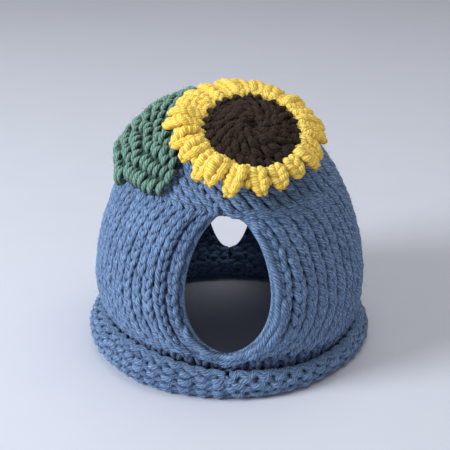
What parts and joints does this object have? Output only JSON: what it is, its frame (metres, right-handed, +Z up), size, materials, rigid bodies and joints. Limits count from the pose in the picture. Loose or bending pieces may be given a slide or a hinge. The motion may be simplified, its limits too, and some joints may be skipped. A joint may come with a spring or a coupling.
{
  "type": "knitted tea cosy",
  "caption": "Small domed knitted tea cosy with rolled hem, spout and handle openings between its panels, and a crocheted sunflower and garter leaf on the crown.",
  "frame": {"origin": "middle of the cosy's footprint on the table", "axes": "+Z up from the table, -Y out of the spout opening, +X to the right seen from the spout"},
  "size_m": [0.1279, 0.1216, 0.1181],
  "materials": {
    "blue_yarn": "matt knitted yarn",
    "green_yarn": "matt knitted yarn",
    "yellow_yarn": "matt crocheted yarn",
    "brown_yarn": "matt crocheted yarn"
  },
  "bodies": {
    "root": {"panel_left": "blue_yarn", "panel_right": "blue_yarn", "leaf": "green_yarn", "flower_petals": "yellow_yarn", "flower_centre": "brown_yarn"}
  },
  "joints": []
}
